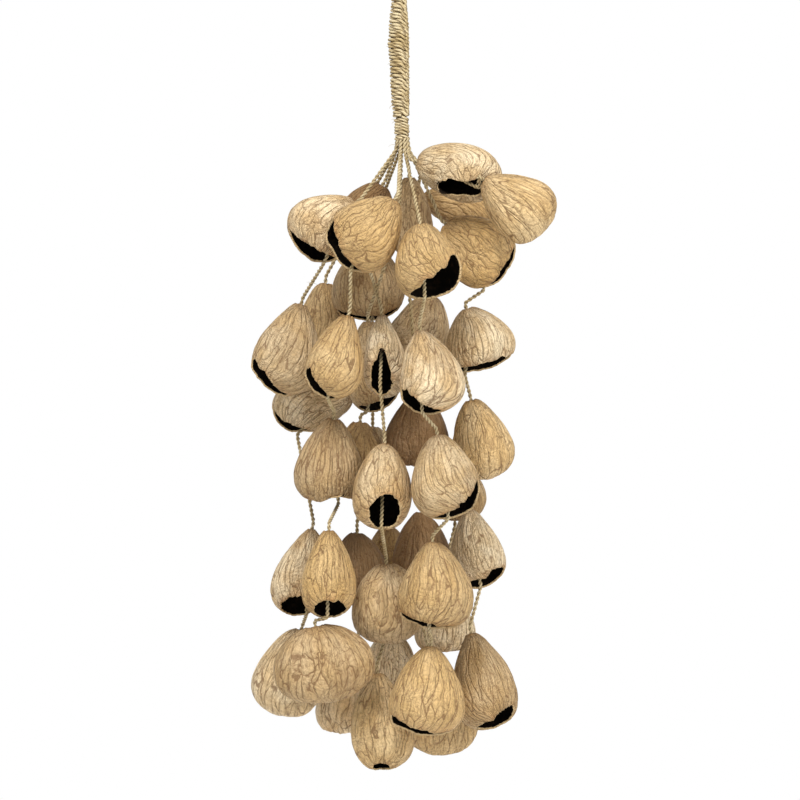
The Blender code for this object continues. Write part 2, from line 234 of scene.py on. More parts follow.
# Points that a twine passes on its way to a shell, as x, drop and depth, where it would touch a neighbour.
DETOURS = {
    "e1": ((22, 40, 2),),
    "g1": ((13, 16, 18),),
    "h2": ((6, 95, 0), (9, 130, -3)),
    "h4": ((14, 310, 4), (20, 335, 8)),
    "i1": ((-14, 42, 34),),
    "j1": ((-1, 48, -3), (-9, 78, -8), (-18, 104, -2)),
    "k1": ((-15, 26, 30),),
    "k2": ((-23, 152, 38),),
}


def swing(lean: float, pitch: float) -> Matrix:
    """The turn of something that hangs from its top: so many degrees to the right and then to the front."""
    across = Matrix.Rotation(-math.radians(lean), 3, "Y")
    return across @ Matrix.Rotation(-math.radians(pitch), 3, "X")


def handle_axis(height: float) -> float:
    """How far to the right the handle's middle lies at a height below the hook, in millimetres."""
    heights, shifts = zip(*SWAY)
    return float(np.interp(height, heights, shifts))


def grip_radius(height: float) -> float:
    """The outside radius of the winding or the whipping at a height below the hook.

    Args:
        height: millimetres below the hook.

    Returns:
        The radius in millimetres.
    """
    if height > WINDING_END:
        return WHIPPING_RADIUS
    heights, radii = zip(*GRIP_PROFILE)
    return float(np.interp(height, heights, radii))


def rough(points: np.ndarray, scale: float, octaves: int = 1) -> np.ndarray:
    """Smooth noise from -1 to 1 at many points.

    Args:
        points: an array of places, one row each, in millimetres.
        scale: the number of bumps for each millimetre.
        octaves: how many finer layers are added, each with half the height.

    Returns:
        One value for each row.
    """
    total = np.zeros(len(points))
    for octave in range(octaves):
        spots = points * (scale * 2**octave)
        total += np.array([noise.noise(Vector(spot)) for spot in spots]) / 2**octave
    return total


class HuskForm:
    """The outer surface of one shell: an egg whose lower pole is bent round to the mouth."""

    def __init__(self, shell: SeedShell) -> None:
        """Works out what the surface needs from the shell's row.

        Args:
            shell: the row of the stringing plan.
        """
        self.shell = shell
        self.turned = swing(shell.lean, shell.pitch)
        down = Vector((0, 0, -1))
        face = self.turned.transposed() @ (swing(shell.face_lean, shell.face_pitch) @ down)
        self.bend = down.angle(face)
        self.hinge = down.cross(face).normalized() if self.bend > 0.001 else Vector((1, 0, 0))
        heights = np.linspace(-0.99, 0.99, 199)
        self.widest = float(np.max(np.sqrt(1 - heights**2) * (1 - shell.taper * heights)))
        narrow = min(shell.wide, shell.thick) / 2 * (1 - shell.taper) / self.widest
        self.hole = math.asin(min(HOLE_RADIUS / narrow, WIDEST_HOLE))
        slope = math.radians(shell.turn)
        along = self.turned.transposed() @ Vector((math.cos(slope), 0, math.sin(slope)))
        along = (along - along.dot(face) * face).normalized()
        unbent = Matrix.Rotation(-self.bend, 3, self.hinge) @ along
        self.slit_at = math.atan2(unbent.y, unbent.x)
        draws = random.Random(shell.name)
        self.lobe_at = draws.uniform(0, 2 * math.pi)
        self.chips = [draws.uniform(-1, 1) for _ in range(CAD_COLUMNS)]
        self.offset = np.array([draws.uniform(-NOISE_SPREAD, NOISE_SPREAD) for _ in range(3)])

    def mouth_angle(self, azimuth: np.ndarray) -> np.ndarray:
        """The half angle of the mouth, an ellipse of slit by gape.

        Args:
            azimuth: places round the shell, in radians.

        Returns:
            The mouth's half angle at each, in radians.
        """
        slit, gape = math.radians(self.shell.slit), math.radians(self.shell.gape)
        turned = azimuth - self.slit_at
        return slit * gape / np.hypot(gape * np.cos(turned), slit * np.sin(turned))

    def surface(self, polar: np.ndarray, azimuth: np.ndarray) -> tuple[np.ndarray, np.ndarray]:
        """Points of the smooth outer surface in the shell's own frame, its narrow end at the origin.

        Args:
            polar: angles from the narrow end, in radians.
            azimuth: angles round the shell, in radians.

        Returns:
            The points in millimetres and the outward directions there.
        """
        shell = self.shell
        sine = np.sin(polar)
        ball = np.stack([sine * np.cos(azimuth), sine * np.sin(azimuth), np.cos(polar)], axis=1)
        share = ((1 - np.cos(polar)) / 2) ** BEND_POWER
        angle = (self.bend * share)[:, None]
        hinge = np.array(self.hinge)
        ball = (
            ball * np.cos(angle)
            + np.cross(hinge, ball) * np.sin(angle)
            + hinge * (ball @ hinge)[:, None] * (1 - np.cos(angle))
        )
        around = np.arctan2(ball[:, 1], ball[:, 0])
        girth = (1 - shell.taper * ball[:, 2]) / self.widest
        girth *= 1 + LOBE_SHARE * np.cos(LOBES * around + self.lobe_at)
        girth *= 1 + RIDGE_HEIGHT / (shell.wide / 2) * np.cos(RIDGES * azimuth)
        half = np.array([shell.wide / 2, shell.thick / 2, shell.long / 2])
        points = np.stack([ball[:, 0] * girth, ball[:, 1] * girth, ball[:, 2] - 1], axis=1) * half
        outward = ball / half
        outward /= np.linalg.norm(outward, axis=1)[:, None]
        return points, outward

    def mouth_exit(self) -> Vector:
        """Where the twine leaves the mouth, in the shell's own frame.

        Returns:
            The place in millimetres.
        """
        off = math.radians(self.shell.slit) * abs(self.shell.leave)
        azimuth = self.slit_at if self.shell.leave >= 0 else self.slit_at + math.pi
        points, _ = self.surface(np.array([math.pi - off]), np.array([azimuth]))
        return Vector(points[0])

    def in_world(self, local: Vector) -> Vector:
        """A point of the shell's own frame in the rattle's frame, both in millimetres."""
        return self.turned @ local + self.shell.tip


class Relief(Enum):
    """The pattern of a shell's skin: veins for each millimetre, their stretch along it and their waviness."""

    VEINED = (0.20, 0.17, 0.8)
    FURROWED = (0.29, 0.13, 0.55)
    KNOTTED = (0.215, 0.27, 1.15)


# Shells whose surface or tone stands out. The others are drawn from their names.
RELIEFS = {
    Relief.VEINED: "a2 b1 b2 d2 f2",
    Relief.FURROWED: "b4 c2 d1 e2 f1 k3",
    Relief.KNOTTED: "b5 c4 e1 e3",
}
TONES = {
    Tone.PALE: "a1 c2 c5 d2 e2 e3 e4 f1 f2 i4 j4 k2 k3 k4",
    Tone.STRAW: "a2 b2 c3 c4 d3 d4 g2 h4 j1 k1",
    Tone.HONEY: "b1 b4 d1 d5 e1",
    Tone.TAN: "b3 b5 e5 g1 g3 h1 i1 i3 j2",
    # The shells in the darkest tone below get painted shade, as they hang deep in the bunch.
    Tone.UMBER: "c1 h2 h3 j3",
}

# Notches that run from a mouth towards the narrow end: place from the slit, half width and depth in degrees.
# One of a depth below zero is a lip that stands out.
NOTCHES = {
    "a1": ((-90, 60, 3),),
    "a2": ((-90, 45, 8), (-150, 12, 6)),
    "b2": ((-90, 45, 8), (-140, 12, 7)),
    "b3": ((-70, 26, 14),),
    "b4": ((-90, 45, 4), (90, 60, 9), (0, 16, -4), (180, 16, -4)),
    "c2": ((-8, 16, 19), (-60, 40, 5)),
    "c3": ((-60, 60, 9), (30, 12, 4)),
    "c5": ((-90, 40, 13), (150, 10, 7)),
    "d1": ((-12, 14, 9), (70, 10, 6), (-120, 12, 5)),
    "d2": ((-90, 40, 7), (-140, 10, 6)),
    "d3": ((-100, 12, 6), (-60, 10, 4)),
    "d4": ((-30, 55, -5),),
    "d5": ((-120, 35, 4), (-30, 40, -4)),
    "e1": ((-60, 50, 6),),
    "e2": ((-90, 50, 3), (-40, 8, 4)),
    "e4": ((-45, 18, 4), (-95, 25, -5)),
    "f1": ((180, 38, 17), (-140, 30, 4)),
    "k3": ((-60, 30, 4), (90, 60, 7), (180, 16, -3)),
}


def known(table: dict[Enum, str], name: str, otherwise: Enum) -> Enum:
    """The option that a table lists a shell's name under, or another where it leaves the shell out."""
    return next((option for option, names in table.items() if name in names.split()), otherwise)


def clear_selection() -> None:
    """Leaves nothing selected and no object being edited."""
    if bpy.context.object and bpy.context.object.mode != "OBJECT":
        bpy.ops.object.mode_set(mode="OBJECT")
    bpy.ops.object.select_all(action="DESELECT")


def placed(name: str, data: bpy.types.ID) -> Piece:
    """A new object in the scene, at the origin.

    Args:
        name: the object's name.
        data: its mesh, camera or lamp.

    Returns:
        The object.
    """
    made = bpy.data.objects.new(name, data)
    bpy.context.scene.collection.objects.link(made)
    return made


def note(mesh: bpy.types.Mesh, name: str, values: np.ndarray, vector: bool = False) -> None:
    """Writes one value or vector for each vertex, as a named attribute for the finish to read."""
    kind, key = ("FLOAT_VECTOR", "vector") if vector else ("FLOAT", "value")
    mesh.attributes.new(name, kind, "POINT").data.foreach_set(key, values.astype(np.float32))


def hand_over(piece: Piece, node: str) -> Piece:
    """Lets a finished piece stand for a node of the part.

    Args:
        piece: the finished piece.
        node: the node that it stands for.

    Returns:
        The piece.
    """
    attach(piece, BODY)
    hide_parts(node)
    LOG.info("%s: %d faces", piece.name, len(piece.data.polygons))
    return piece


@dataclass
class Husk:
    """One hollow seed shell, with its veins, its chipped mouth and its wall."""

    shell: SeedShell
    columns: int = 76
    rows: int = 52
    vein_depth: float = 0.34
    vein_scale: float = 0.14
    vein_width: float = 0.16
    fine_vein_scale: float = 0.3
    fine_vein_width: float = 0.2
    fine_vein_share: float = 0.35
    chip_depth: float = 2.6
    chip_scales: tuple = (3.1, 8.7)
    fine_chip_share: float = 0.6
    chip_share_power: int = 10
    swell: float = 1.05
    swell_scale: float = 0.045
    facet_loss: float = 0.65
    tooth: float = 1.7
    keel: float = 1.25
    keel_places: tuple = (0, 120, 230)
    keel_shift: float = 25.0
    keel_drift: float = 14.0
    rim_reach: float = 3.0
    tip_reach: float = 5.0
    tone_drift: float = 0.06
    form: HuskForm = field(init=False)

    def __post_init__(self) -> None:
        """Prepares the form of the outer surface."""
        self.form = HuskForm(self.shell)

    def relief(self) -> Relief:
        """The pattern of this shell: the one it is known for, or a drawn one."""
        drawn = random.Random(f"relief {self.shell.name}").choice(list(Relief))
        return known(RELIEFS, self.shell.name, drawn)

    def tone(self) -> tuple[float, float]:
        """How dark and how honey coloured this shell is: a known or a drawn tone, and a little of its own.
        For shells deep in the bunch the darkness is painted shade.

        Returns:
            The share of the dark colour and that of the honey one.
        """
        draws = random.Random(f"tone {self.shell.name}")
        drawn = draws.choice([Tone.PALE, Tone.STRAW, Tone.TAN])
        dark, honey = known(TONES, self.shell.name, drawn).value
        return dark + draws.uniform(-self.tone_drift, self.tone_drift), honey

    def husk_places(self, polar: np.ndarray, azimuth: np.ndarray) -> np.ndarray:
        """Places on the skin that veins follow: round the shell twice, and along it from the narrow end.

        Args:
            polar: angles from the narrow end, in radians.
            azimuth: angles round the shell, in radians.

        Returns:
            One row of three values in millimetres for each place.
        """
        reach = (self.shell.wide + self.shell.thick) / 4
        girth = reach * (0.6 + 0.4 * np.sin(polar))
        along = 1.1 * self.shell.long * polar / math.pi
        return np.stack([girth * np.cos(azimuth), girth * np.sin(azimuth), along], axis=1)

    def rim_shift(self, azimuth: np.ndarray) -> np.ndarray:
        """How far chips move the mouth's rim, in radians.

        Args:
            azimuth: places round the mouth, in radians.

        Returns:
            The shift at each place.
        """
        column = (azimuth - self.form.slit_at) / (2 * math.pi) * CAD_COLUMNS % CAD_COLUMNS
        chips = self.form.chips + self.form.chips[:1]
        broad = np.interp(column, np.arange(CAD_COLUMNS + 1), chips) * CHIP_ANGLE
        ring = np.stack([np.cos(azimuth), np.sin(azimuth), azimuth * 0], axis=1) + self.form.offset
        broad_scale, fine_scale = self.chip_scales
        nicks = rough(ring, broad_scale) * self.chip_depth
        nicks += rough(ring, fine_scale) * self.chip_depth * self.fine_chip_share
        draws = random.Random(f"teeth {self.shell.name}")
        teeth = np.array([draws.choice([0, 0, draws.uniform(-1, 0.4)]) for _ in range(self.columns)])
        own = np.round((azimuth - self.form.slit_at) / (2 * math.pi) * self.columns).astype(int)
        shift = broad + nicks + teeth[own % self.columns] * self.tooth
        for place, half, depth in NOTCHES.get(self.shell.name, ()):
            off = np.abs(apart(np.degrees(azimuth - self.form.slit_at), place))
            shift -= depth * np.clip(1.4 - off / half, 0, 1)
        return np.radians(shift)

    def keels(self, polar: np.ndarray, azimuth: np.ndarray) -> np.ndarray:
        """Blunt ridges that run from the narrow end to the mouth, where the seeds lay pressed together.

        Args:
            polar: angles from the narrow end, in radians.
            azimuth: angles round the shell, in radians.

        Returns:
            How far each place stands out, in millimetres.
        """
        draws = random.Random(f"keels {self.shell.name}")
        start = draws.uniform(0, 360)
        total = np.zeros(len(polar))
        for step in self.keel_places:
            place = start + step + draws.uniform(-self.keel_shift, self.keel_shift)
            drift = draws.uniform(-self.keel_drift, self.keel_drift)
            off = apart(np.degrees(azimuth) - place, drift * np.cos(polar))
            total += draws.uniform(0.2, 1.0) * np.exp(-((off / draws.uniform(13, 24)) ** 2))
        return total * self.keel * np.sin(polar) ** 0.7

    def skin(self) -> tuple[np.ndarray, np.ndarray, np.ndarray]:
        """The outer skin's grid, from the twine's hole down to the rim of the mouth.

        Returns:
            Shares from hole to rim, polar angles and azimuths, in the order of the sphere's vertices.
        """
        ring = bpy.context.object.data.vertices
        spots = np.zeros(len(ring) * 3)
        ring.foreach_get("co", spots)
        spots = spots.reshape(-1, 3)
        spots /= np.linalg.norm(spots, axis=1)[:, None]
        step = math.pi / (self.rows + 2)
        share = np.clip((np.arccos(spots[:, 2]) / step - 1) / self.rows, 0, 1)
        azimuth = np.arctan2(spots[:, 1], spots[:, 0]) + self.form.slit_at
        mouth = math.pi - self.form.mouth_angle(azimuth)
        rim = mouth + self.rim_shift(azimuth) * share**self.chip_share_power
        polar = self.form.hole + (rim - self.form.hole) * share
        return share, polar, azimuth

    def build(self, skin: "HuskFinish", slot: str) -> Piece:
        """Makes the shell from a sphere whose ends are cut away, with a solid wall.

        Args:
            skin: the finish of its outside, and of the hollow.
            slot: not used.

        Returns:
            The finished piece.
        """
        clear_selection()
        bpy.ops.mesh.primitive_uv_sphere_add(segments=self.columns, ring_count=self.rows + 2, radius=1.0)
        made = bpy.context.object
        made.name = f"husk_{self.shell.name}"
        bpy.ops.object.mode_set(mode="EDIT")
        bpy.ops.mesh.select_all(action="DESELECT")
        work = bmesh.from_edit_mesh(made.data)
        for vertex in work.verts:
            vertex.select = abs(vertex.co.z) > math.cos(math.pi / (self.rows + 2) / 2)
        bmesh.update_edit_mesh(made.data)
        bpy.ops.mesh.delete(type="VERT")
        bpy.ops.object.mode_set(mode="OBJECT")
        share, polar, azimuth = self.skin()
        points, outward = self.form.surface(polar, azimuth)
        places = self.husk_places(polar, azimuth)
        drift = places + self.form.offset
        bulge = rough(drift, self.swell_scale, 2) * self.swell - self.facet_loss + self.keels(polar, azimuth)
        veins = rough(drift * (1, 1, 0.35), self.vein_scale, 2)
        sunk = np.exp(-((veins / self.vein_width) ** 2)) * self.vein_depth
        veins = rough(drift * (1, 1, 0.6), self.fine_vein_scale)
        sunk += np.exp(-((veins / self.fine_vein_width) ** 2)) * self.vein_depth * self.fine_vein_share
        points += outward * (bulge - sunk + self.vein_depth * 0.4)[:, None]
        turned = np.array(self.form.turned)
        world = (points @ turned.T + np.array(self.shell.tip)) * MM
        made.data.vertices.foreach_set("co", world.ravel())
        to_rim = (1 - share) * (polar.max() - self.form.hole) * self.shell.long / 2.6
        note(made.data, "husk", drift.ravel(), vector=True)
        # The dark share is the shell's tone, and painted shade on the shells deep in the bunch.
        dark, honey = self.tone()
        notes = {
            "rim": np.exp(-to_rim / self.rim_reach),
            "tip": np.exp(-share * self.shell.long / self.tip_reach),
            "tone": np.full(len(share), dark),
            "honey": np.full(len(share), honey),
        }
        for name, values in notes.items():
            note(made.data, name, values)
        note(made.data, "veins", np.tile(self.relief().value, len(share)), vector=True)
        made.data.materials.append(skin.outside())
        made.data.materials.append(skin.inside())
        wall = made.modifiers.new("wall", "SOLIDIFY")
        wall.thickness = WALL * MM
        wall.offset = -1.0
        wall.material_offset = 1
        wall.use_quality_normals = True
        bpy.ops.object.modifier_apply(modifier="wall")
        bpy.ops.object.shade_smooth()
        return hand_over(made, self.shell.node)


def distances(points: np.ndarray) -> np.ndarray:
    """How far along a line each of its points lies."""
    gaps = np.linalg.norm(np.diff(points, axis=0), axis=1)
    return np.concatenate([[0], np.cumsum(gaps)])


def smooth_way(points: list[Vector]) -> list[Vector]:
    """Points of a smooth curve that passes through these, with the ends left as they are.

    Args:
        points: the points to pass.

    Returns:
        The curve's points.
    """
    spans = [2 * points[0] - points[1], *points, 2 * points[-1] - points[-2]]
    way = []
    for before, start, end, after in zip(spans, spans[1:], spans[2:], spans[3:]):
        for step in range(WAY_STEPS):
            t = step / WAY_STEPS
            pull = (end - before) * t + (2 * before - 5 * start + 4 * end - after) * t**2
            pull += (3 * start - before - 3 * end + after) * t**3
            way.append(start + pull / 2)
    return [*way, points[-1]]


@dataclass
class Ply:
    """A twisted cord drawn along a line: how many strands it has and how tightly they turn."""

    radius: float
    twist: float
    strands: int = 2
    sides: int = 12
    step: float = 0.8
    groove: float = 0.32
    soften: float = 2.0

    def evened(self, points: np.ndarray, radii: np.ndarray | float) -> tuple:
        """The line with points at even steps and its corners rounded.

        Args:
            points: the line's own points, in millimetres.
            radii: the radius at each, or at all.

        Returns:
            The new points, their radii and their distance along the line.
        """
        along = distances(points)
        count = max(int(along[-1] / self.step), 4)
        places = np.linspace(0, along[-1], count + 1)
        line = np.stack([np.interp(places, along, points[:, i]) for i in range(3)], axis=1)
        size = np.interp(places, along, np.broadcast_to(radii, len(along)))
        reach = int(math.ceil(2 * self.soften / self.step))
        weights = np.exp(-((np.arange(-reach, reach + 1) * self.step / self.soften) ** 2))
        weights /= weights.sum()
        padded = np.concatenate([np.repeat(line[:1], reach, 0), line, np.repeat(line[-1:], reach, 0)])
        soft = np.stack([np.convolve(padded[:, i], weights, mode="valid") for i in range(3)], axis=1)
        soft[0], soft[-1] = line[0], line[-1]
        return soft, size, places

    def frames(self, line: np.ndarray) -> tuple[np.ndarray, np.ndarray]:
        """Two directions across the line at each point, which turn as little as possible along it.

        Args:
            line: the line's points.

        Returns:
            The two directions at each point.
        """
        ahead = np.gradient(line, axis=0)
        ahead /= np.linalg.norm(ahead, axis=1)[:, None]
        side = np.cross(ahead[0], (0.0, 1.0, 0.3))
        sides = []
        for forward in ahead:
            side = side - forward * (side @ forward)
            side = side / np.linalg.norm(side)
            sides.append(side)
        sides = np.array(sides)
        return sides, np.cross(ahead, sides)

    def sweep(self, line: np.ndarray, size: np.ndarray, places: np.ndarray) -> tuple:
        """The cord's skin round the line.

        Args:
            line: points along the cord, in millimetres.
            size: its radius at each.
            places: the distance of each along the cord.

        Returns:
            The vertices in millimetres, the faces and how deep in a groove each vertex lies.
        """
        across, over = self.frames(line)
        angle = np.arange(self.sides) * 2 * math.pi / self.sides
        phase = self.strands * (angle[None, :] - 2 * math.pi * places[:, None] / self.twist)
        reach = size[:, None] * (1 - self.groove * 0.5 + self.groove * np.cos(phase))
        right, up = np.cos(angle)[:, None], np.sin(angle)[:, None]
        out = right * across[:, None, :] + up * over[:, None, :]
        rings = line[:, None, :] + reach[..., None] * out
        count, sides = len(line), self.sides
        faces = []
        for low in range(0, (count - 1) * sides, sides):
            high = low + sides
            for j, after in enumerate([*range(1, sides), 0]):
                faces.append((low + j, low + after, high + after, high + j))
        faces.append(tuple(reversed(range(sides))))
        faces.append(tuple((count - 1) * sides + j for j in range(sides)))
        groove = (1 - np.cos(phase)) / 2
        return rings.reshape(-1, 3), faces, groove.ravel()


def cord_mesh(name: str, parts: list, finish: "FibreFinish") -> Piece:
    """One object from one or more swept cords.

    Args:
        name: the object's name.
        parts: the vertices, faces and grooves of each cord.
        finish: the cords' finish.

    Returns:
        The object, at the origin.
    """
    vertices, faces, grooves, start = [], [], [], 0
    for spots, rings, groove in parts:
        vertices.append(spots)
        faces += [tuple(corner + start for corner in ring) for ring in rings]
        grooves.append(groove)
        start += len(spots)
    mesh = bpy.data.meshes.new(name)
    mesh.from_pydata((np.concatenate(vertices) * MM).tolist(), [], faces)
    note(mesh, "groove", np.concatenate(grooves))
    mesh.materials.append(finish.material())
    mesh.shade_smooth()
    return placed(name, mesh)


@dataclass
class StrungTwine:
    """One twine: from the handle through its shells, with a knot inside each and one at its end."""

    letter: str
    shells: tuple[SeedShell, ...]
    thickness: float = 1.16
    knot: float = 1.25
    tucked: float = 3.0
    knot_half: float = 1.7
    knot_lumps: float = 0.12
    lay_length: float = 6.6
    lay_change: float = 0.6

    def start(self) -> Vector:
        """Where the twine leaves the handle: ten stand round its edge and one in the middle.

        Returns:
            The place in millimetres.
        """
        foot = handle_axis(FAN_TOP)
        if self.letter not in FAN_ORDER:
            return Vector((foot, 0, -FAN_TOP))
        angle = 2 * math.pi * FAN_ORDER.index(self.letter) / FAN_PLACES
        return Vector((foot + FAN_RADIUS * math.cos(angle), FAN_RADIUS * math.sin(angle), -FAN_TOP))

    def route(self) -> tuple[list[Vector], list[int]]:
        """The line that the twine follows, as the part has it.

        Returns:
            Its points in millimetres, and which of them are knots.
        """
        start = self.start()
        spread = (self.shells[0].tip - start).normalized()
        points = [start, start + (spread + Vector((0, 0, -1))).normalized() * FAN_DROP]
        knots = []
        for shell in self.shells:
            form = HuskForm(shell)
            entry = form.in_world(Vector((0, 0, LEAD_IN)))
            passed = [hung(*spot) for spot in DETOURS.get(shell.name, ())]
            if passed:
                points += smooth_way([points[-1], *passed, entry])[1:-1]
            points.append(entry)
            knots.append(len(points))
            points.append(form.in_world(Vector((0, 0, -KNOT_DEPTH))))
            points.append(form.in_world(Vector((0, 0, -KNOT_DEPTH - KNOT_LENGTH))))
            if shell is not self.shells[-1]:
                points.append(form.in_world(form.mouth_exit()))
        return points, knots

    def build(self, finish: "FibreFinish") -> Piece:
        """Makes the two-ply twine with its knots.

        Args:
            finish: the fibre's finish.

        Returns:
            The finished piece.
        """
        points, knots = self.route()
        points.insert(0, points[0] + Vector((0, 0, self.tucked)))
        knots = [knot + 1 for knot in knots]
        line = np.array(points)
        twist = self.lay_length + self.lay_change * math.sin(ord(self.letter))
        ply = Ply(self.thickness, twist)
        soft, size, places = ply.evened(line, self.thickness)
        for knot in distances(line)[knots]:
            swell = np.exp(-(((places - knot) / self.knot_half) ** 2))
            size = size + self.knot * swell * (1 + self.knot_lumps * np.sin(places * 5.1))
        made = cord_mesh(f"cord_{self.letter}", [ply.sweep(soft, size, places)], finish)
        hand_over(made, f"twine_{self.letter}")
        length = float(distances(soft)[-1]) * MM
        tuple(self.start() * MM)
        LOG.info("%s is %.0f mm long", made.name, length / MM)
        return made


@dataclass
class RopeHandle:
    """The grip: a rope doubled over in a loop, a cord wound round its legs and a whipping below."""

    finish: "FibreFinish"
    turn_pitch: float = 2.35
    turn_radius: float = 1.12
    whip_pitch: float = 2.1
    whip_radius: float = 1.02
    hitch_angle: float = -52.0
    hitch_height: float = 0.55
    hitch_dip: float = 1.3
    hitch_width: float = 15.0
    tilt: float = 0.3
    unevenness: float = 0.34
    swelling: float = 0.13
    turn_stand: float = 0.35
    whip_stand: float = 0.15
    runner_swing: float = 9.0
    runner_stand: float = 0.15
    runner_dip: float = 0.4
    runner_angle: float = -40.0
    runner_radius: float = 0.85
    turn_steps: int = 26
    core_gap: float = 1.5
    core_overlap: float = 0.2

    def loop_line(self) -> np.ndarray:
        """The rope of the handle: up one leg, round the eye and down the other leg.

        Returns:
            The line's points in millimetres.
        """
        half = []
        bends = [height for height, _ in reversed(SWAY) if WINDING_TOP < height < WINDING_END]
        for height in (WHIPPING_END, WINDING_END, *bends, WINDING_TOP):
            half.append((handle_axis(height) + LEG_SPACING, 0, -height))
        half.append((LEG_SPACING + LOOP_THROAT_SPREAD, 0, -LOOP_THROAT))
        centre = ROPE_RADIUS - LOOP_HALF_WIDTH
        for turned in np.linspace(LOOP_LOWEST_ANGLE, 90, 12):
            angle = math.radians(turned)
            half.append((LOOP_HALF_WIDTH * math.cos(angle), 0, centre + LOOP_HALF_WIDTH * math.sin(angle)))
        other = []
        for x, y, z in reversed(half[:-1]):
            shift = 2 * handle_axis(-z) if -z >= WINDING_TOP else 0.0
            other.append((shift - x, y, z))
        return np.array(half + other)

    def finished(self, name: str, parts: list, node: str) -> Piece:
        """One piece of the handle, which then stands for its node."""
        return hand_over(cord_mesh(name, parts, self.finish), node)

    def loop(self) -> Piece:
        """The hanging loop, a rope of three strands.

        Returns:
            The finished piece.
        """
        ply = Ply(ROPE_RADIUS, twist=11.0, strands=3, sides=18, step=0.7, groove=0.13)
        rope = ply.sweep(*ply.evened(self.loop_line(), ROPE_RADIUS))
        return self.finished("eye_rope", [rope], "hanging_loop")

    def coil_line(self, top: float, end: float, pitch: float, inset: float, draws: random.Random) -> list:
        """The line of a cord wound round the grip, a little unevenly, with a hitch at every turn.

        Args:
            top: where the winding starts, below the hook.
            end: where it ends.
            pitch: the height of a turn.
            inset: how far the cord's middle lies inside the grip's outside.
            draws: the source of the unevenness.

        Returns:
            The line's points in millimetres.
        """
        turns = round((end - top) / pitch)
        steps = turns * self.turn_steps
        wander = [draws.uniform(-1, 1) for _ in range(turns + 2)]
        slack = [draws.uniform(-1, 1) for _ in range(turns + 2)]
        points = []
        for step in range(steps + 1):
            turn = step / self.turn_steps
            angle = 360 * turn - 90
            height = top + (end - top) * turn / turns
            hitch = math.exp(-((apart(angle, self.hitch_angle) / self.hitch_width) ** 2))
            tilt = self.tilt * math.sin(math.radians(angle + 25))
            tilt += self.tilt * math.sin(math.radians(2 * angle + 70))
            lift = float(np.interp(turn, range(turns + 2), wander)) * self.unevenness
            out = float(np.interp(turn * 1.7 % turns, range(turns + 2), slack)) * self.unevenness
            reach = grip_radius(height) - inset + out
            if height < WINDING_END:
                reach += self.hitch_height * hitch
                lift += self.hitch_dip * hitch
            spin = math.radians(angle)
            x = handle_axis(height) + reach * math.cos(spin)
            points.append((x, reach * math.sin(spin), -height - lift - tilt))
        return points

    def core(self, top: float, end: float) -> tuple:
        """The fibre under a winding, dark all over with the grooves' painted shade, as the shade between the
        turns.

        Args:
            top: where it starts, below the hook.
            end: where it ends.

        Returns:
            The vertices, faces and grooves.
        """
        heights = np.linspace(top, end, 24)
        line = np.array([(handle_axis(height), 0, -height) for height in heights])
        radii = np.array([grip_radius(height) - self.core_gap for height in heights])
        ply = Ply(1.0, UNTWISTED, sides=20, step=2.0, groove=0.0, soften=0.8)
        spots, faces, groove = ply.sweep(*ply.evened(line, radii))
        # Groove one all over: the core takes the painted groove shade everywhere.
        return spots, faces, groove * 0 + 1

    def runner_line(self, draws: random.Random) -> np.ndarray:
        """The line of hitches that runs down the grip's side: it dips between turns and swings across them.

        Args:
            draws: the source of its unevenness.

        Returns:
            The line's points in millimetres.
        """
        points = []
        for height in np.arange(WINDING_TOP + 2, WINDING_END - 2, self.turn_pitch / 6):
            phase = 2 * math.pi * height / self.turn_pitch
            swung = self.runner_swing * math.sin(phase)
            angle = math.radians(self.runner_angle + swung + draws.uniform(-2, 2))
            reach = grip_radius(height) + self.runner_stand + self.runner_dip * math.cos(phase)
            points.append((handle_axis(height) + reach * math.cos(angle), reach * math.sin(angle), -height))
        return np.array(points)

    def laid(self, line: np.ndarray, radius: float, draws: random.Random) -> tuple:
        """A soft cord of long fibres along a line, thicker here and thinner there.

        Args:
            line: the line's points in millimetres.
            radius: the cord's radius.
            draws: the source of its unevenness.

        Returns:
            The vertices, faces and grooves.
        """
        ply = Ply(radius, twist=13.0, sides=10, groove=0.10, soften=0.45)
        soft, size, places = ply.evened(line, radius)
        marks = np.arange(0, places[-1] + 12, 6)
        uneven = np.interp(places, marks, [draws.uniform(-1, 1) for _ in marks])
        return ply.sweep(soft, size * (1 + self.swelling * uneven), places)

    def winding(self) -> Piece:
        """The long winding of the grip, which bulges below its top.

        Returns:
            The finished piece.
        """
        draws = random.Random("winding")
        inset = self.turn_radius - self.turn_stand
        top, end = WINDING_TOP + self.turn_radius, WINDING_END - self.turn_radius / 2
        line = self.coil_line(top, end, self.turn_pitch, inset, draws)
        coil = self.laid(np.array(line), self.turn_radius, draws)
        runner = self.laid(self.runner_line(draws), self.runner_radius, draws)
        core = self.core(WINDING_TOP, WINDING_END - self.core_overlap)
        return self.finished("grip_winding", [coil, runner, core], "handle_winding")

    def whipping(self) -> Piece:
        """The neat tight turns that hold the twines at the grip's lower end.

        Returns:
            The finished piece.
        """
        draws = random.Random("whipping")
        top, end = WINDING_END + self.whip_radius * 0.7, WHIPPING_END - self.whip_radius * 0.8
        line = self.coil_line(top, end, self.whip_pitch, self.whip_radius - self.whip_stand, draws)
        coil = self.laid(np.array(line), self.whip_radius, draws)
        core = self.core(WINDING_END + self.core_overlap, WHIPPING_END)
        return self.finished("grip_whipping", [coil, core], "whipping")


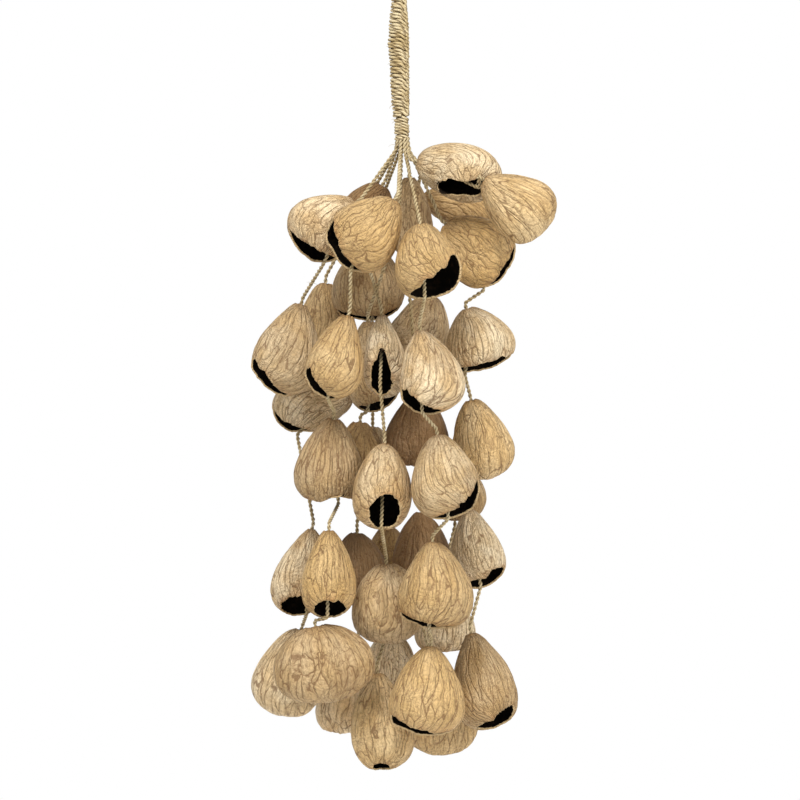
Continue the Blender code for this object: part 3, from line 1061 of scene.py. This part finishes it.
@dataclass
class StrayFibres:
    """Loose fibres and frayed ends where twines are knotted and wound."""

    # Where frayed ends stand out, as x, drop and depth, how many fibres and how long.
    tufts: tuple = (
        (52.0, 26.0, -47.0, 7, 6.0),
        (-28.0, 78.0, -30.0, 2, 9.0),
        (-57.0, 92.0, -2.0, 2, 7.0),
        (5.0, 3.0, -4.0, 4, 8.0),
        (-3.0, 2.0, -4.0, 3, 6.0),
        (28.0, 53.0, -8.0, 2, 4.0),
    )
    thickness: float = 0.17
    grip_fibres: int = 34
    bends: int = 6
    curl: float = 0.25
    hang: float = 0.12

    def strand(self, root: Vector, aim: Vector, reach: float, draws: random.Random) -> tuple:
        """One fibre, thinner towards its end, that curls a little and hangs.

        Args:
            root: where it starts, in millimetres.
            aim: the direction that it starts in.
            reach: its length.
            draws: the source of its curl.

        Returns:
            The vertices, faces and grooves.
        """
        curl = Vector([draws.uniform(-1, 1) for _ in range(3)]) * self.curl + Vector((0, 0, -self.hang))
        line = [root]
        heading = aim.normalized()
        for _ in range(self.bends):
            heading = (heading + curl * 0.5).normalized()
            line.append(line[-1] + heading * reach / self.bends)
        ply = Ply(self.thickness, UNTWISTED, sides=5, step=1.0, groove=0.0, soften=0.3)
        radii = np.linspace(self.thickness, self.thickness * 0.3, len(line))
        return ply.sweep(*ply.evened(np.array(line), radii))

    def build(self, finish: "FibreFinish") -> Piece:
        """Makes all stray fibres as one piece.

        Args:
            finish: the fibre's finish.

        Returns:
            The finished piece.
        """
        draws = random.Random("stray fibres")
        parts = []
        for x, drop, depth, count, reach in self.tufts:
            for _ in range(count):
                aim = Vector((draws.uniform(-1, 1), draws.uniform(-1.2, 0.2), draws.uniform(-1, 0.6)))
                root = hung(x, drop, depth)
                parts.append(self.strand(root, aim, reach * draws.uniform(0.5, 1.0), draws))
        for _ in range(self.grip_fibres):
            height = draws.uniform(WINDING_TOP + 4, WHIPPING_END - 1)
            angle = draws.uniform(0, 2 * math.pi)
            out = Vector((math.cos(angle), math.sin(angle), draws.uniform(-0.6, 0.4)))
            root = Vector((handle_axis(height), 0, -height)) + out * grip_radius(height)
            aside = Vector((-out.y, out.x, 0)) * draws.uniform(-1, 1)
            parts.append(self.strand(root, out * 0.5 + aside, draws.uniform(1.0, 3.0), draws))
        made = cord_mesh("stray_fibres", parts, finish)
        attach(made, BODY)
        LOG.info("%s: %d fibres", made.name, len(parts))
        return made


class Chain:
    """A chain of nodes in a material or a world."""

    def __init__(self, owner: bpy.types.ID) -> None:
        """Starts the chain.

        Args:
            owner: the material or world.
        """
        owner.use_nodes = True
        self.nodes = owner.node_tree.nodes
        self.links = owner.node_tree.links

    def put(self, kind: str, inputs: dict | None = None, **settings: object) -> bpy.types.Node:
        """Adds a node.

        Args:
            kind: the node's type.
            inputs: a value or another node's socket for each input, by name or number.
            settings: the node's own properties.

        Returns:
            The node.
        """
        node = self.nodes.new(kind)
        for key, value in settings.items():
            setattr(node, key, value)
        for key, value in (inputs or {}).items():
            self.feed(node.inputs[key], value)
        return node

    def feed(self, socket: Socket, value: object) -> None:
        """Links a socket to another, or sets its value.

        Args:
            socket: the input.
            value: the output to link, or a number, vector or colour.
        """
        if isinstance(value, Socket):
            self.links.new(value, socket)
        else:
            socket.default_value = value


class Recipe(Chain):
    """A material written as a chain of nodes, from its patterns to its shader."""

    def __init__(self, name: str, roughness: float, gloss: float = 0.5) -> None:
        """Starts a material with one Principled shader.

        Args:
            name: the material's name.
            roughness: how rough it is.
            gloss: its specular level.
        """
        self.material = bpy.data.materials.new(name)
        super().__init__(self.material)
        self.shader = self.nodes["Principled BSDF"]
        self.shader.inputs["Roughness"].default_value = roughness
        self.shader.inputs["Specular IOR Level"].default_value = gloss

    def noted(self, name: str, vector: bool = False) -> Socket:
        """Reads the value or vector that the mesh notes under a name at each vertex."""
        node = self.put("ShaderNodeAttribute", attribute_name=name)
        return node.outputs["Vector" if vector else "Fac"]

    def sum(
        self, operation: str, first: object, second: object = 0.5, third: float = 0.0, clamp: bool = False
    ) -> Socket:
        """A Math node on numbers or sockets: third is added last, and clamp keeps the result from 0 to 1."""
        values = {0: first, 1: second, 2: third}
        return self.put("ShaderNodeMath", values, operation=operation, use_clamp=clamp).outputs[0]

    def times(self, first: object, second: object, clamp: bool = False) -> Socket:
        """The product of two numbers or sockets, kept from 0 to 1 where clamp says so."""
        return self.sum("MULTIPLY", first, second, clamp=clamp)

    def scaled(self, vector: object, factors: object, operation: str = "MULTIPLY") -> Socket:
        """A vector stretched along each of its directions, or joined to another in the way that is named."""
        return self.put("ShaderNodeVectorMath", {0: vector, 1: factors}, operation=operation).outputs[0]

    def grain(self, vector: object, scale: float, detail: float = 2.0) -> Socket:
        """Soft noise from 0 to 1, its scale in bumps for each millimetre, or metre on object coordinates."""
        inputs = {"Vector": vector, "Scale": scale, "Detail": detail}
        return self.put("ShaderNodeTexNoise", inputs).outputs["Fac"]

    def stirred(self, places: object, scale: float, reach: object) -> Socket:
        """Places moved about by soft noise, so that lines drawn on them wind.

        Args:
            places: the places.
            scale: bumps for each millimetre.
            reach: how far they move, in millimetres.

        Returns:
            The moved places' socket.
        """
        inputs = {"Vector": places, "Scale": scale, "Detail": 1.0}
        stir = self.put("ShaderNodeTexNoise", inputs).outputs["Color"]
        shift = self.scaled(stir, (0.5, 0.5, 0.5), "SUBTRACT")
        moved = self.put("ShaderNodeVectorMath", {0: shift, "Scale": reach}, operation="SCALE").outputs[0]
        return self.scaled(places, moved, "ADD")

    def edges(self, places: object, scale: float) -> Socket:
        """How far each place is from the nearest line of a net with this many cells for each unit."""
        inputs = {"Vector": places, "Scale": scale}
        return self.put("ShaderNodeTexVoronoi", inputs, feature="DISTANCE_TO_EDGE").outputs["Distance"]

    def ramped(self, value: object, low: float, high: float) -> Socket:
        """A smooth step from 0 where the value is low to 1 where it is high."""
        inputs = {"Value": value, "From Min": low, "From Max": high}
        return self.put("ShaderNodeMapRange", inputs, interpolation_type="SMOOTHSTEP").outputs[0]

    def mixed(self, share: object, first: object, second: object) -> Socket:
        """One colour over another.

        Args:
            share: how much of the second shows.
            first: the colour below.
            second: the colour above.

        Returns:
            The result's socket.
        """
        node = self.put("ShaderNodeMix", data_type="RGBA")
        for socket, value in ((0, share), (6, first), (7, second)):
            self.feed(node.inputs[socket], value)
        return node.outputs[2]

    def finish(self, colour: object, height: object, depth: float, strength: float) -> bpy.types.Material:
        """Joins the pattern to the shader.

        Args:
            colour: the surface colour's socket.
            height: the relief's socket.
            depth: the relief's depth in millimetres.
            strength: how strongly it shows.

        Returns:
            The finished material.
        """
        self.feed(self.shader.inputs["Base Color"], colour)
        bump = self.put("ShaderNodeBump", {"Height": height, "Distance": depth * MM, "Strength": strength})
        self.feed(self.shader.inputs["Normal"], bump.outputs[0])
        return self.material


@dataclass(frozen=True)
class HuskFinish:
    """The dry skin of a seed shell: pale straw with brown veins, darker round its mouth."""

    name: str
    light: tuple = (0.92, 0.74, 0.475, 1)
    straw: tuple = (0.71, 0.495, 0.25, 1)
    honey: tuple = (0.68, 0.43, 0.15, 1)
    vein: tuple = (0.17, 0.085, 0.03, 1)
    # The dark husk colour of the tones; on shells deep in the bunch it is painted shade.
    dark: tuple = (0.20, 0.10, 0.035, 1)
    stain: tuple = (0.50, 0.23, 0.07, 1)
    cut: tuple = (0.66, 0.47, 0.24, 1)
    roughness: float = 0.62
    gloss: float = 0.35
    relief_depth: float = 1.6
    broad_waves: float = 9.0
    fine_waves: float = 1.6
    side_cells: float = 2.5

    def outside(self) -> bpy.types.Material:
        """The veined skin, made once for each finish.

        Returns:
            The material.
        """
        made = bpy.data.materials.get(f"husk_skin_{self.name}")
        if made:
            return made
        recipe = Recipe(f"husk_skin_{self.name}", self.roughness, self.gloss)
        times, ramped = recipe.times, recipe.ramped
        husk = recipe.noted("husk", vector=True)
        split = recipe.put("ShaderNodeSeparateXYZ", {0: recipe.noted("veins", vector=True)})
        density, stretch, waviness = split.outputs
        warped = recipe.stirred(husk, 0.07, times(waviness, self.broad_waves))
        warped = recipe.stirred(warped, 0.35, times(waviness, self.fine_waves))
        factors = {0: density, 1: density, 2: times(density, stretch)}
        net = recipe.scaled(warped, recipe.put("ShaderNodeCombineXYZ", factors).outputs[0])
        main = recipe.edges(net, 1.0)
        side = recipe.edges(net, self.side_cells)
        fade = ramped(recipe.grain(husk, 0.11), 0.30, 0.62)
        fold = recipe.grain(recipe.scaled(warped, (0.7, 0.7, 1.0)), 0.42, 3.0)
        wrinkle = times(recipe.sum("ABSOLUTE", recipe.sum("SUBTRACT", fold, 0.5)), 5.0, clamp=True)
        groove = times(ramped(main, 0.17, 0.0), recipe.sum("MULTIPLY_ADD", fade, 0.6, 0.4))
        crease = times(ramped(side, 0.15, 0.0), recipe.sum("MULTIPLY_ADD", fade, -0.5, 0.9))
        height = recipe.sum("SUBTRACT", times(wrinkle, 0.32), times(groove, 0.5))
        height = recipe.sum("SUBTRACT", height, times(crease, 0.25))
        fine = recipe.grain(recipe.scaled(warped, (1.0, 1.0, 0.5)), 1.1)
        height = recipe.sum("ADD", height, times(fine, 0.22))
        thin = times(ramped(main, 0.07, 0.0), recipe.sum("MULTIPLY_ADD", fade, 0.7, 0.4))
        thinner = times(ramped(side, 0.11, 0.0), recipe.sum("MULTIPLY_ADD", fade, -0.3, 0.55))
        lines = recipe.sum("MAXIMUM", thin, thinner)
        lines = recipe.sum("ADD", lines, times(ramped(wrinkle, 0.36, 0.0), 0.34), clamp=True)
        return recipe.finish(self.colours(recipe, husk, lines), height, self.relief_depth, 1.0)

    def colours(self, recipe: Recipe, husk: object, lines: object) -> Socket:
        """The skin's colour: straw, its veins, its stains and how dark the whole shell is, which on shells
        deep in the bunch is painted shade.

        Args:
            recipe: the material being written.
            husk: places on the skin.
            lines: how much of a dark line each place has.

        Returns:
            The colour's socket.
        """
        times, ramped, mixed = recipe.times, recipe.ramped, recipe.mixed
        cloud = ramped(recipe.grain(husk, 0.06, 3.0), 0.32, 0.68)
        colour = mixed(cloud, self.light, self.straw)
        colour = mixed(recipe.noted("honey"), colour, self.honey)
        freckle = ramped(recipe.grain(husk, 0.8, 1.0), 0.66, 0.8)
        colour = mixed(times(freckle, 0.5), colour, self.stain)
        edge = times(recipe.noted("rim"), ramped(recipe.grain(husk, 0.1), 0.4, 0.65))
        colour = mixed(times(edge, 0.8), colour, self.stain)
        colour = mixed(times(recipe.noted("tip"), 0.5), colour, self.stain)
        patch = times(ramped(recipe.grain(husk, 0.035), 0.5, 0.8), 0.28)
        # The tone's dark share with darker patches; on shells deep in the bunch it is painted shade.
        shade = recipe.sum("ADD", recipe.noted("tone"), patch, clamp=True)
        colour = mixed(times(shade, 0.85), colour, self.dark)
        colour = mixed(times(lines, 0.8), colour, self.vein)
        return mixed(ramped(recipe.noted("rim"), 0.90, 0.98), colour, self.cut)

    def inside(self) -> bpy.types.Material:
        """The hollow: near black, partly its own dark colour and partly painted shade, with a little brown
        fibre.

        Returns:
            The material.
        """
        made = bpy.data.materials.get("husk_hollow")
        if made:
            return made
        recipe = Recipe("husk_hollow", roughness=0.9, gloss=0.1)
        husk = recipe.noted("husk", vector=True)
        cloud = recipe.ramped(recipe.grain(husk, 0.25, 3.0), 0.45, 0.75)
        # Painted shade: the hollow's own dark colour pushed to near black.
        colour = recipe.mixed(cloud, (0.010, 0.007, 0.005, 1), (0.035, 0.02, 0.011, 1))
        return recipe.finish(colour, recipe.grain(husk, 0.8), 0.4, 0.5)


@dataclass(frozen=True)
class FibreFinish:
    """Twisted plant fibre: straw coloured on its plies, with painted shade in the grooves between them."""

    name: str
    straw: tuple
    pale: tuple
    # The colour of the painted shade in the grooves between plies.
    groove: tuple
    roughness: float = 0.78
    gloss: float = 0.25
    hair_scale: float = 2600.0

    def material(self) -> bpy.types.Material:
        """The fibre's material, made once for each finish.

        Returns:
            The material.
        """
        made = bpy.data.materials.get(f"fibre_{self.name}")
        if made:
            return made
        recipe = Recipe(f"fibre_{self.name}", self.roughness, self.gloss)
        place = recipe.put("ShaderNodeTexCoord").outputs["Object"]
        cloud = recipe.ramped(recipe.grain(place, 130.0), 0.35, 0.65)
        colour = recipe.mixed(cloud, self.straw, self.pale)
        hairs = recipe.grain(recipe.scaled(place, (1.0, 1.0, 0.35)), self.hair_scale)
        colour = recipe.mixed(recipe.times(recipe.ramped(hairs, 0.45, 0.7), 0.4), colour, self.groove)
        # Painted shade: darker where a vertex lies deep in a groove between plies.
        deep = recipe.ramped(recipe.noted("groove"), 0.45, 1.0)
        colour = recipe.mixed(recipe.times(deep, 0.85), colour, self.groove)
        return recipe.finish(colour, hairs, 0.25, 0.7)


@dataclass
class Studio:
    """A plain pale floor, soft light and the camera at the photo's angle."""

    photo_width: float = 520.0
    middle_drop: float = 308.0
    lens: float = 400.0
    sensor: float = 36.0
    nearest: float = 25.0
    floor_drop: float = 632.0
    floor_radius: float = 0.95
    sky_below: float = 0.22
    sky_above: float = 0.86
    # Each lamp's place and size in metres, and its power in watts.
    lamps: tuple = (
        ("key", (-0.55, -1.5, 1.55), 0.9, 41.0),
        ("fill", (1.4, -1.3, 0.3), 1.1, 17.0),
    )

    def camera(self) -> Piece:
        """A long lens straight in front, far enough for the photo's flat view.

        Returns:
            The camera.
        """
        data = bpy.data.cameras.new("camera")
        data.lens = self.lens
        data.sensor_width = self.sensor
        data.clip_end = 50.0
        made = placed("camera", data)
        away = self.photo_width * self.lens / self.sensor + self.nearest
        made.location = (0.0, -away * MM, -self.middle_drop * MM)
        made.rotation_euler = (math.pi / 2, 0.0, 0.0)
        bpy.context.scene.camera = made
        return made

    def floor(self) -> Piece:
        """A round pale floor below the hanging bunch.

        Returns:
            The floor.
        """
        clear_selection()
        bpy.ops.mesh.primitive_circle_add(
            vertices=96, radius=self.floor_radius, fill_type="NGON", location=(0, 0, -self.floor_drop * MM)
        )
        made = bpy.context.object
        bpy.ops.object.transform_apply(location=True)
        made.name = "studio_floor"
        recipe = Recipe("studio_floor", roughness=0.9)
        place = recipe.put("ShaderNodeTexCoord").outputs["Object"]
        tone = recipe.mixed(recipe.grain(place, 3.0), (0.80, 0.80, 0.80, 1), (0.84, 0.84, 0.83, 1))
        recipe.feed(recipe.shader.inputs["Base Color"], tone)
        made.data.materials.append(recipe.material)
        return made

    def sky(self) -> None:
        """White all round, and brighter above than below where it lights the shells."""
        world = bpy.data.worlds.new("studio")
        chain = Chain(world)
        place = chain.put("ShaderNodeTexCoord").outputs["Generated"]
        height = chain.put("ShaderNodeSeparateXYZ", {0: place}).outputs["Z"]
        levels = {"Value": height, "From Min": -1.0, "To Min": self.sky_below, "To Max": self.sky_above}
        light = chain.nodes["Background"]
        light.inputs["Color"].default_value = (1.0, 0.985, 0.965, 1)
        chain.feed(light.inputs["Strength"], chain.put("ShaderNodeMapRange", levels).outputs[0])
        seen = chain.put("ShaderNodeBackground", {"Color": (1, 1, 1, 1)})
        camera = chain.put("ShaderNodeLightPath").outputs["Is Camera Ray"]
        pick = chain.put("ShaderNodeMixShader", {0: camera, 1: light.outputs[0], 2: seen.outputs[0]})
        chain.feed(chain.nodes["World Output"].inputs["Surface"], pick.outputs[0])
        bpy.context.scene.world = world

    def lamp(self, name: str, place: tuple, size: float, power: float) -> Piece:
        """A soft square lamp that faces the bunch.

        Args:
            name: the lamp's name.
            place: where it stands, in metres.
            size: its side in metres.
            power: its power in watts.

        Returns:
            The lamp.
        """
        data = bpy.data.lights.new(name, "AREA")
        data.size = size
        data.energy = power
        made = placed(name, data)
        made.location = place
        aim = Vector((0, 0, -self.middle_drop * MM)) - Vector(place)
        made.rotation_euler = aim.to_track_quat("-Z", "Y").to_euler()
        return made

    def build(self) -> None:
        """Sets up the whole studio."""
        self.camera()
        self.floor()
        self.sky()
        for lamp in self.lamps:
            self.lamp(*lamp)
        bpy.context.scene.view_settings.view_transform = "Standard"


def main() -> None:
    """Dresses the part, piece by piece, and sets up the studio."""
    logging.basicConfig(level=logging.INFO, format="%(message)s")
    Studio().build()
    # Each fibre finish's last colour is painted shade, in the grooves between plies and under the winding.
    twine = FibreFinish("twine", (0.49, 0.38, 0.20, 1), (0.65, 0.54, 0.33, 1), (0.15, 0.09, 0.037, 1))
    rope = FibreFinish("rope", (0.55, 0.42, 0.21, 1), (0.73, 0.61, 0.38, 1), (0.13, 0.08, 0.033, 1))
    for letter, shells in STRANDS.items():
        StrungTwine(letter, shells).build(twine)
    handle = RopeHandle(rope)
    handle.loop()
    handle.winding()
    handle.whipping()
    StrayFibres().build(twine)
    skins = [
        HuskFinish("straw"),
        HuskFinish("cream", light=(0.92, 0.75, 0.49, 1), straw=(0.77, 0.56, 0.30, 1)),
        HuskFinish("tan", light=(0.84, 0.62, 0.33, 1), straw=(0.68, 0.455, 0.20, 1)),
        HuskFinish("pale", light=(0.93, 0.77, 0.52, 1), straw=(0.80, 0.60, 0.34, 1)),
    ]
    for index, shells in enumerate(STRANDS.values()):
        for place, shell in enumerate(shells):
            slot = (index + place) % len(skins)
            Husk(shell).build(skins[slot], f"shell_{slot + 1}")
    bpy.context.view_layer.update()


if __name__ == "__main__":
    main()
